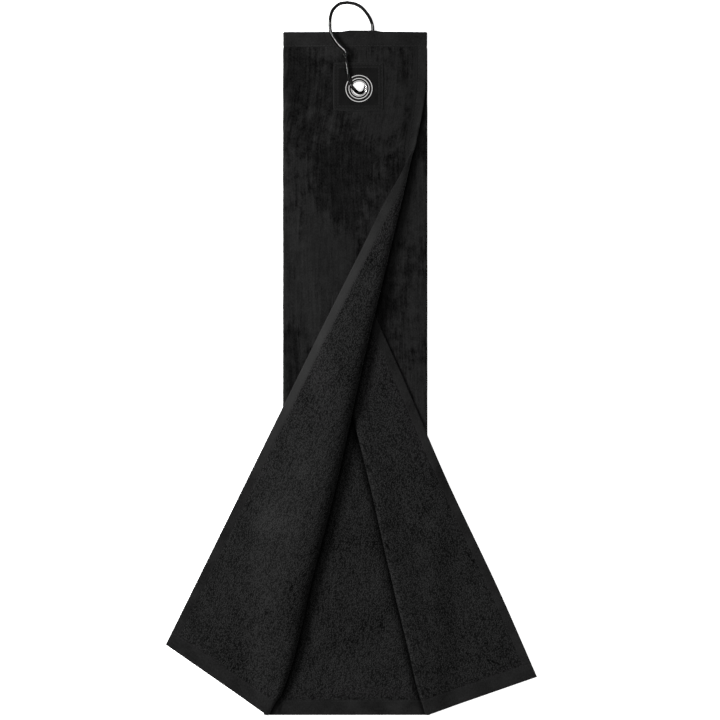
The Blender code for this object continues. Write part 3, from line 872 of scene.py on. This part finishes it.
eyelet_low, eyelet_high = (plan(corner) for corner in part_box("eyelet"))
washer_low, washer_high = (plan(corner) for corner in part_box("eyelet_washer"))
FLANGE = (eyelet_high[0] - eyelet_low[0]) / 2
BORE = 6.35              # radius of the hole through the eyelet
BARREL = 6.85            # radius of the barrel that joins its two faces
EYELET_TOP = eyelet_high[2]
EYELET_BOTTOM = eyelet_low[2]
EYELET_STEPS = (0.29, 0.24)     # rise of the eyelet's outer and inner step
eyelet_rim = EYELET_TOP - sum(EYELET_STEPS)
eyelet_shelf = eyelet_rim + EYELET_STEPS[0]
eyelet_profile = (
    arc(FLANGE - 0.45, EYELET_TOP - 1.1, 0.45, 0.6, -90, 25, 6)
    + [(FLANGE - 0.6, eyelet_rim), (FLANGE - 0.75, eyelet_rim)]
    + [(9.8, eyelet_rim), (9.25, eyelet_shelf), (7.55, eyelet_shelf), (7.1, EYELET_TOP)]
    + arc(7.05, EYELET_TOP - 0.9, 7.05 - BORE, 0.9, 90, 180, 12)
    + [(BORE, EYELET_TOP - 3.0), (BORE, EYELET_BOTTOM + 1.6)]
    + arc(BORE + 1.1, EYELET_BOTTOM + 0.9, 1.1, 0.9, 180, 350, 12)
    + [(BORE + 2.15, EYELET_BOTTOM + 0.9), (BORE + 1.3, EYELET_BOTTOM + 0.75)]
    + [(BARREL, EYELET_BOTTOM + 1.5), (BARREL, EYELET_TOP - 1.8), (BARREL + 0.3, EYELET_TOP - 1.7)]
)
eyelet = lathe("eyelet_ring", eyelet_profile)
washer_outer = (washer_high[0] - washer_low[0]) / 2
washer_profile = (
    arc(washer_outer - 0.3, (washer_low[2] + washer_high[2]) / 2, 0.3, 0.28, -90, 90, 6)
    + [(BARREL + 0.1, washer_high[2]), (BARREL + 0.1, washer_low[2])]
)
washer = lathe("eyelet_back_washer", washer_profile)

WIRE = 1.6               # radius of the hook's wire
HOOK_BODY = (
    (-10.8, -22.8, 13.5), (-10.0, -21.6, 13.5), (-9.1, -23.0, 13.6), (-8.6, -27.0, 14.4),
    (-7.8, -33.0, 14.75), (-6.8, -40.0, 14.85), (-5.4, -46.0, 15.6), (-3.6, -51.2, 16.2),
    (-1.9, -53.4, 15.9), (-0.6, -54.9, 13.95), (0.8, -56.3, 10.6), (3.6, -57.7, 6.8),
    (6.2, -57.4, 3.1), (8.0, -56.0, 1.65), (9.6, -53.0, 1.65), (10.6, -48.0, 1.65),
    (12.2, -36.0, 1.65), (14.2, -20.0, 1.65), (16.0, -5.0, 1.65), (16.5, 4.0, 1.65),
    (15.2, 9.8, 1.9), (13.0, 14.6, 3.2), (9.6, 19.4, 5.0), (5.3, 23.5, 7.0),
    (-0.5, 26.4, 9.2), (-7.6, 27.4, 11.3),
)
HOOK_GATE = (
    (-7.9, 27.3, 11.4), (-14.1, 26.2, 13.0), (-18.9, 22.8, 14.2), (-21.9, 18.4, 14.9),
    (-23.4, 12.6, 15.3), (-23.7, 6.8, 15.4), (-23.2, 0.0, 15.5), (-20.1, -6.0, 15.7),
    (-14.9, -13.2, 16.1), (-10.8, -16.9, 16.6), (-8.7, -20.0, 16.95), (-8.9, -23.0, 17.1),
    (-9.4, -24.6, 17.15),
)


def flowing(points, steps=10):
    """A Catmull-Rom line through points."""
    route = [np.array(p, float) for p in points]
    route = [2 * route[0] - route[1], *route, 2 * route[-1] - route[-2]]
    line = []
    for a, b, c, d in zip(route, route[1:], route[2:], route[3:]):
        for k in range(steps):
            t = k / steps
            line.append(0.5 * (2 * b + (c - a) * t + (2 * a - 5 * b + 4 * c - d) * t * t
                               + (3 * b - a - 3 * c + d) * t ** 3))
    line.append(route[-2])
    return np.array(line)


def wire(name, points, radius=WIRE, sides=20):
    """A round wire along a route with rounded ends."""
    line = flowing(points)
    along = np.gradient(line, axis=0)
    along /= np.linalg.norm(along, axis=1, keepdims=True)
    side = np.cross(along[0], (0.0, 0.0, 1.0))
    side /= np.linalg.norm(side)
    rings = []
    caps = (0.02, 0.38, 0.71, 0.92)     # radius of the rings that round off an end

    def bulge(share):
        return radius * 0.7 * math.sqrt(1 - share * share)

    for k in range(len(line)):
        side = side - along[k] * side.dot(along[k])
        side /= np.linalg.norm(side)
        up = np.cross(side, along[k])
        if k == 0:
            rings += [(line[0] - along[0] * bulge(c), side, up, c) for c in caps]
        rings.append((line[k], side, up, 1.0))
        if k == len(line) - 1:
            rings += [(line[k] + along[k] * bulge(c), side, up, c) for c in reversed(caps)]
    vertices = []
    for centre, a, b, share in rings:
        for s in range(sides):
            turn = 2 * math.pi * s / sides
            vertices.append(centre + radius * share * (math.cos(turn) * a + math.sin(turn) * b))
    return set_smooth(make_object(name, to_world(vertices), tube_faces(len(rings), sides)))


hook_loop = wire("spring_hook", HOOK_BODY)
hook_arm = wire("spring_hook_arm", HOOK_GATE)


# Materials.

class Shader:
    """A material's node tree, built up with short calls."""

    def __init__(self, name):
        self.material = bpy.data.materials.new(name)
        self.material.use_nodes = True
        self.tree = self.material.node_tree
        self.surface = self.tree.nodes["Principled BSDF"]

    def node(self, kind, inputs=(), **settings):
        made = self.tree.nodes.new(kind)
        for key, value in settings.items():
            setattr(made, key, value)
        for key, value in dict(inputs).items():
            if isinstance(value, bpy.types.NodeSocket):
                self.tree.links.new(value, made.inputs[key])
            else:
                made.inputs[key].default_value = value
        return made

    def math(self, operation, a, b):
        return self.node("ShaderNodeMath", {0: a, 1: b}, operation=operation).outputs[0]

    def add(self, first, *others):
        for other in others:
            first = self.math("ADD", first, other)
        return first

    def times(self, a, b):
        return self.math("MULTIPLY", a, b)

    def solid_place(self):
        return self.node("ShaderNodeTexCoord").outputs["Object"]

    def attribute(self, name):
        return self.node("ShaderNodeAttribute", attribute_name=name).outputs["Fac"]

    def vector(self, operation, a, b):
        return self.node("ShaderNodeVectorMath", {0: a, 1: b}, operation=operation).outputs[0]

    def noise(self, place, scale, detail=3.0, rough=0.5, distortion=0.0):
        made = self.node("ShaderNodeTexNoise", {
            "Vector": place, "Scale": scale, "Detail": detail, "Roughness": rough,
            "Distortion": distortion})
        return made.outputs["Fac"]

    def span(self, value, low, high, to_low=0.0, to_high=1.0):
        made = self.node("ShaderNodeMapRange", {
            "Value": value, "From Min": low, "From Max": high, "To Min": to_low, "To Max": to_high})
        return made.outputs["Result"]

    def blend(self, share, a, b):
        made = self.node("ShaderNodeMix", {"Factor": share}, data_type="RGBA")
        for socket, value in ((made.inputs[6], a), (made.inputs[7], b)):
            if isinstance(value, bpy.types.NodeSocket):
                self.tree.links.new(value, socket)
            else:
                socket.default_value = value
        return made.outputs[2]

    def bump(self, height, strength, distance):
        return self.node("ShaderNodeBump", {
            "Height": height, "Strength": strength, "Distance": distance}).outputs["Normal"]

    def set(self, **values):
        names = {"color": "Base Color", "roughness": "Roughness", "metallic": "Metallic",
                 "normal": "Normal", "sheen": "Sheen Weight", "sheen_rough": "Sheen Roughness",
                 "specular": "Specular IOR Level"}
        for key, value in values.items():
            socket = self.surface.inputs[names[key]]
            if isinstance(value, bpy.types.NodeSocket):
                self.tree.links.new(value, socket)
            else:
                socket.default_value = value


def grey(value, warm=1.0):
    return (value * warm, value, value / warm, 1.0)


def cloth_place(shader, across, along):
    """The flat cloth's coordinates in metres, stretched, so that grain follows the weave."""
    place = shader.node("ShaderNodeAttribute", attribute_name="cloth").outputs["Vector"]
    return shader.vector("MULTIPLY", place, (across, along, 1.0))


def spot(shader, across, down, half_wide, half_tall):
    """1 inside an oval of the flat cloth, given in millimetres from its front edge and top."""
    place = shader.vector("SUBTRACT", cloth_place(shader, 1.0, 1.0), (across * MM, down * MM, 0.0))
    place = shader.vector("MULTIPLY", place, (1.0 / (half_wide * MM), 1.0 / (half_tall * MM), 0.0))
    far = shader.node("ShaderNodeVectorMath", {0: place}, operation="LENGTH").outputs["Value"]
    return shader.span(far, 0.5, 1.3, 1.0, 0.0)


# The nap's larger patches on the front layer: lighter over 0 or darker, with each spot's middle
# and half sizes.
STROKED_SPOTS = (
    (1.0, (105.0, 222.0, 38.0, 66.0)),
    (-1.3, (69.0, 140.0, 28.0, 50.0)),
    (-1.8, (123.0, 300.0, 7.0, 38.0)),
    (-0.8, (112.0, 70.0, 26.0, 44.0)),
)
# Painted light: a lighter oval on the front flap's terry, where the light falls, in millimetres from
# the front edge and top, with half sizes
PAINTED_LIGHT_TERRY = (46.0, 470.0, 34.0, 110.0)
# Painted light: a lighter oval on the front flap's side hem, where the light falls
PAINTED_LIGHT_HEM = (4.0, 305.0, 30.0, 125.0)


def make_pile():
    """Cut velour on one face and looped terry on the other, with painted crease shade and a painted
    lighter oval on the front flap's terry.
    """
    s = Shader("terry velour")
    face = s.attribute("velour")
    even = cloth_place(s, 1.0, 1.0)
    streaks = s.noise(cloth_place(s, 1.0, 0.05), 420.0, 4.0, 0.7)
    nap = s.noise(s.vector("ADD", cloth_place(s, 1.0, 0.62), (0.31, 0.0, 0.0)), 15.0, 8.0, 0.66, 0.15)
    brushed = s.noise(cloth_place(s, 1.0, 0.75), 110.0, 6.0, 0.7)
    fluff = s.noise(cloth_place(s, 1.0, 0.6), 950.0, 3.0, 0.7)
    # Where the nap lies the other way it reads darker, in patches with ragged sides.
    stroked = s.add(s.span(nap, 0.35, 0.65, -1.0, 1.0), s.span(streaks, 0.32, 0.68, -0.35, 0.35),
                    s.span(brushed, 0.36, 0.64, -0.5, 0.5),
                    *(s.times(spot(s, *where), weight) for weight, where in STROKED_SPOTS))
    velour_tone = s.add(s.span(stroked, -0.5, 0.3, -0.38, 0.33),
                        s.span(brushed, 0.36, 0.64, -0.3, 0.3),
                        s.span(streaks, 0.32, 0.68, -0.45, 0.45),
                        s.span(fluff, 0.32, 0.68, -0.6, 0.6))
    velour_color = s.blend(s.span(velour_tone, -1.1, 1.4), grey(0.0007), grey(0.0135))
    loops = s.node("ShaderNodeTexVoronoi", {
        "Vector": cloth_place(s, 1.0, 0.85), "Scale": 780.0, "Randomness": 0.85}).outputs["Distance"]
    ribs = s.noise(cloth_place(s, 1.0, 0.16), 330.0, 2.0, 0.6)
    flattened = s.noise(even, 24.0, 4.0, 0.55, 0.4)
    # The terry's tone includes a painted light, a lighter oval on the front flap's left middle
    terry_tone = s.add(s.span(loops, 0.1, 0.75, 0.6, -0.9),
                       s.span(flattened, 0.35, 0.65, -0.13, 0.13),
                       s.span(ribs, 0.3, 0.7, -0.2, 0.2), s.times(spot(s, *PAINTED_LIGHT_TERRY), 0.22))
    terry_color = s.blend(s.span(terry_tone, -1.2, 1.1), grey(0.0005), grey(0.0235))
    color = s.blend(face, terry_color, velour_color)
    # The smooth woven edge that shows beside the velour.
    place = s.node("ShaderNodeSeparateXYZ", {0: even})
    woven_noise = s.noise(even, 1500.0, 2.0, 0.6)
    woven_color = s.blend(s.span(woven_noise, 0.3, 0.7), grey(0.0050), grey(0.0120))
    edge = s.span(place.outputs["X"], (WOVEN_EDGE - 0.5) * MM, (WOVEN_EDGE + 0.3) * MM, 1.0, 0.0)
    edge = s.times(edge, face)
    color = s.blend(edge, color, woven_color)
    velour_height = s.add(s.times(streaks, 0.6), s.times(fluff, 0.5), s.times(brushed, 1.4))
    terry_height = s.add(s.span(loops, 0.0, 0.8, 1.0, 0.0), s.times(ribs, 0.5))
    # Painted shade: the cloth darkens towards black on the front roll's shaded side, in the creases
    # beside the rolls and along the bottom hem's pleat
    painted_shade = s.attribute("painted_crease_shade")
    color = s.blend(s.times(painted_shade, 0.92), color, grey(0.0004))
    height = s.node("ShaderNodeMix", {"Factor": face, "A": terry_height, "B": velour_height},
                    data_type="FLOAT").outputs[0]
    s.set(color=color, roughness=0.95, specular=0.02, sheen=0.02, sheen_rough=0.4,
          normal=s.bump(height, 1.0, 0.0009))
    return s.material


def make_hem():
    """Flat-woven hem with fine ribs along it, with painted crease shade and a painted lighter oval on
    the front flap's side hem.
    """
    s = Shader("hem weave")
    ribs = s.noise(cloth_place(s, 1.0, 0.5), 1100.0, 2.0, 0.6)
    wear = s.noise(cloth_place(s, 1.0, 1.0), 45.0, 3.0, 0.6)
    tone = s.add(s.span(ribs, 0.3, 0.7, 0.0, 0.6), s.span(wear, 0.35, 0.65, 0.0, 0.4))
    color = s.blend(tone, grey(0.0024), grey(0.0124))
    # Painted shade in the creases beside the rolls and along the bottom hem's pleat
    painted_shade = s.attribute("painted_crease_shade")
    color = s.blend(s.times(painted_shade, 0.85), color, grey(0.0008))
    # Painted light: the front flap's side hem is lighter in an oval where the light falls on it
    hem_painted_light = s.times(spot(s, *PAINTED_LIGHT_HEM), 0.52)
    color = s.blend(hem_painted_light, color, grey(0.025))
    s.set(color=color, roughness=0.9, specular=0.04, sheen=0.02, sheen_rough=0.4,
          normal=s.bump(s.add(ribs, s.times(wear, 2.0)), 0.7, 0.00035))
    return s.material


def make_patch_weave():
    """Plain weave of the patch, paler along its ridges."""
    s = Shader("patch weave")
    place = s.solid_place()
    warp = s.node("ShaderNodeTexWave", {"Vector": place, "Scale": 520.0, "Distortion": 0.4},
                  bands_direction="X").outputs["Fac"]
    weft = s.node("ShaderNodeTexWave", {"Vector": place, "Scale": 430.0, "Distortion": 0.4},
                  bands_direction="Y").outputs["Fac"]
    weave = s.times(warp, weft)
    wear = s.noise(place, 160.0, 3.0)
    ridge = s.attribute("ridge")
    color = s.blend(s.times(s.add(weave, wear), 0.6), grey(0.0012), grey(0.0085))
    color = s.blend(s.times(ridge, 0.6), color, grey(0.0125))
    s.set(color=color, roughness=0.85, specular=0.05, sheen=0.02, sheen_rough=0.4,
          normal=s.bump(weave, 0.7, 0.0003))
    return s.material


def make_thread():
    """Twisted sewing thread."""
    s = Shader("sewing thread")
    place = s.solid_place()
    twist = s.noise(place, 3800.0, 2.0)
    s.set(color=s.blend(twist, grey(0.006), grey(0.02)), roughness=0.7, specular=0.1,
          normal=s.bump(twist, 0.5, 0.0001))
    return s.material


def make_metal(name, light, dark, roughness, edge=1.0):
    """Plated metal with faint wear and fingerprints."""
    s = Shader(name)
    place = s.solid_place()
    smudge = s.noise(place, 190.0, 4.0, 0.6)
    scratch = s.noise(place, 1900.0, 2.0, 0.7)
    s.surface.inputs["Specular Tint"].default_value = grey(edge)
    s.set(color=s.blend(s.span(smudge, 0.35, 0.7), light, dark), metallic=1.0,
          roughness=s.span(smudge, 0.3, 0.75, roughness, roughness * 1.8),
          normal=s.bump(scratch, 0.1, 0.00002))
    return s.material


pile_material = make_pile()
hem_material = make_hem()
patch_material = make_patch_weave()
thread_material = make_thread()
eyelet_material = make_metal("eyelet nickel", grey(0.85, 1.01), grey(0.7, 1.01), 0.05)
wire_material = make_metal("hook wire", grey(0.03), grey(0.02), 0.08, 0.08)


# Bodies and the CAD nodes that each piece stands for.

# A flap's hinge point and axis, the way to its free side, and where its bend starts and stops,
# in millimetres off the hinge.
FLAPS = {
    "front_flap": (front_hinge_point, front_hinge_axis, (-1.0, 0.0, 0.0), (6.5, 28.0)),
    "right_flap": (right_hinge_point, right_hinge_axis, (1.0, 0.0, 0.0), (0.5, 14.0)),
}


def hinge_blend(obj, flap):
    """Finds the way off a flap's hinge towards its free side and bakes the piece's transform into its
    mesh; the piece is not bent.
    """
    point, axis, free_side, bend = FLAPS[flap]
    off = Vector((-axis.y, axis.x, 0.0)).normalized()
    if off.dot(Vector(free_side)) < 0.0:
        off = -off
    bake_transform(obj)


def outfit(obj, material, nodes):
    obj.data.materials.append(material)
    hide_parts(*nodes)


for table, material, finish in ((CLOTH, pile_material, "terry_velour"),
                                (HEMS, hem_material, "hem_weave"),
                                (THREADS, thread_material, "sewing_thread")):
    for name, body, _, nodes in table:
        outfit(pieces[name], material, nodes)
        if body in FLAPS:
            hinge_blend(pieces[name], body)
        else:
            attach(pieces[name], body)

for piece, material, finish, node, body in (
        (patch, patch_material, "patch_weave", "grommet_patch", "towel"),
        (patch_stitches, thread_material, "sewing_thread", "patch_thread", "towel"),
        (eyelet, eyelet_material, "eyelet_nickel", "eyelet", "towel"),
        (washer, eyelet_material, "eyelet_nickel", "eyelet_washer", "towel"),
        (hook_loop, wire_material, "hook_wire", "hook_wire", "hook"),
        (hook_arm, wire_material, "hook_wire", "hook_gate", "hook_gate")):
    outfit(piece, material, (node,))
    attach(piece, body)


# Floor, light and camera.
FLOOR = 30.0             # half the floor's side, in metres
plane = make_object("floor", [(-FLOOR, -FLOOR, 0.0), (FLOOR, -FLOOR, 0.0),
                              (FLOOR, FLOOR, 0.0), (-FLOOR, FLOOR, 0.0)], [(0, 1, 2, 3)])
paper = Shader("paper")
paper.set(color=grey(0.86), roughness=0.9, specular=0.1)
paper.surface.inputs["Emission Color"].default_value = (1.0, 1.0, 1.0, 1.0)
paper.surface.inputs["Emission Strength"].default_value = 0.8
plane.data.materials.append(paper.material)


def soft_light(name, place, size, power):
    """A rectangular light that looks at the middle of the frame."""
    light = bpy.data.lights.new(name, "AREA")
    light.shape = "RECTANGLE"
    light.size, light.size_y = size
    light.energy = power
    obj = bpy.data.objects.new(name, light)
    obj.location = place
    obj.rotation_euler = (-Vector(place)).to_track_quat("-Z", "Y").to_euler()
    bpy.context.scene.collection.objects.link(obj)
    return obj


soft_light("key", (-1.8, 0.5, 1.6), (0.8, 0.8), 120.0).visible_glossy = False
soft_light("fill", (1.6, -0.5, 1.3), (1.0, 1.0), 5.0).visible_glossy = False
soft_light("strip", (-0.8, 0.3, 2.6), (0.8, 0.14), 60.0).visible_diffuse = False

# A dim room with a pale band round its walls, which polished metal mirrors as rings.
sky = bpy.data.worlds.new("studio")
sky.use_nodes = True
nodes = sky.node_tree.nodes
direction = nodes.new("ShaderNodeTexCoord")
upward = nodes.new("ShaderNodeSeparateXYZ")
band = nodes.new("ShaderNodeValToRGB")
band.color_ramp.interpolation = "EASE"
band.color_ramp.elements[0].position = 0.25
band.color_ramp.elements[0].color = (0.12, 0.12, 0.12, 1.0)
band.color_ramp.elements[1].position = 0.90
band.color_ramp.elements[1].color = (0.015, 0.015, 0.015, 1.0)
for position in (0.40, 0.72):
    band.color_ramp.elements.new(position).color = (1.0, 1.0, 1.0, 1.0)
sky.node_tree.links.new(direction.outputs["Generated"], upward.inputs[0])
sky.node_tree.links.new(upward.outputs["Z"], band.inputs["Fac"])
sky.node_tree.links.new(band.outputs["Color"], nodes["Background"].inputs["Color"])
nodes["Background"].inputs["Strength"].default_value = 0.95
bpy.context.scene.world = sky
bpy.context.scene.view_settings.view_transform = "Standard"

CAMERA_HIGH = 6.0
FRAME_WIDE = 0.6802      # width of the view at the floor, in metres
AIM_X, AIM_Y = 4.55, -309.7
lens = bpy.data.cameras.new("camera")
lens.sensor_width = 36.0
lens.lens = lens.sensor_width * CAMERA_HIGH / FRAME_WIDE
lens.clip_end = 100.0
camera = bpy.data.objects.new("camera", lens)
camera.location = world(AIM_X, AIM_Y, 0.0) + Vector((0.0, 0.0, CAMERA_HIGH))
bpy.context.scene.collection.objects.link(camera)
bpy.context.scene.camera = camera
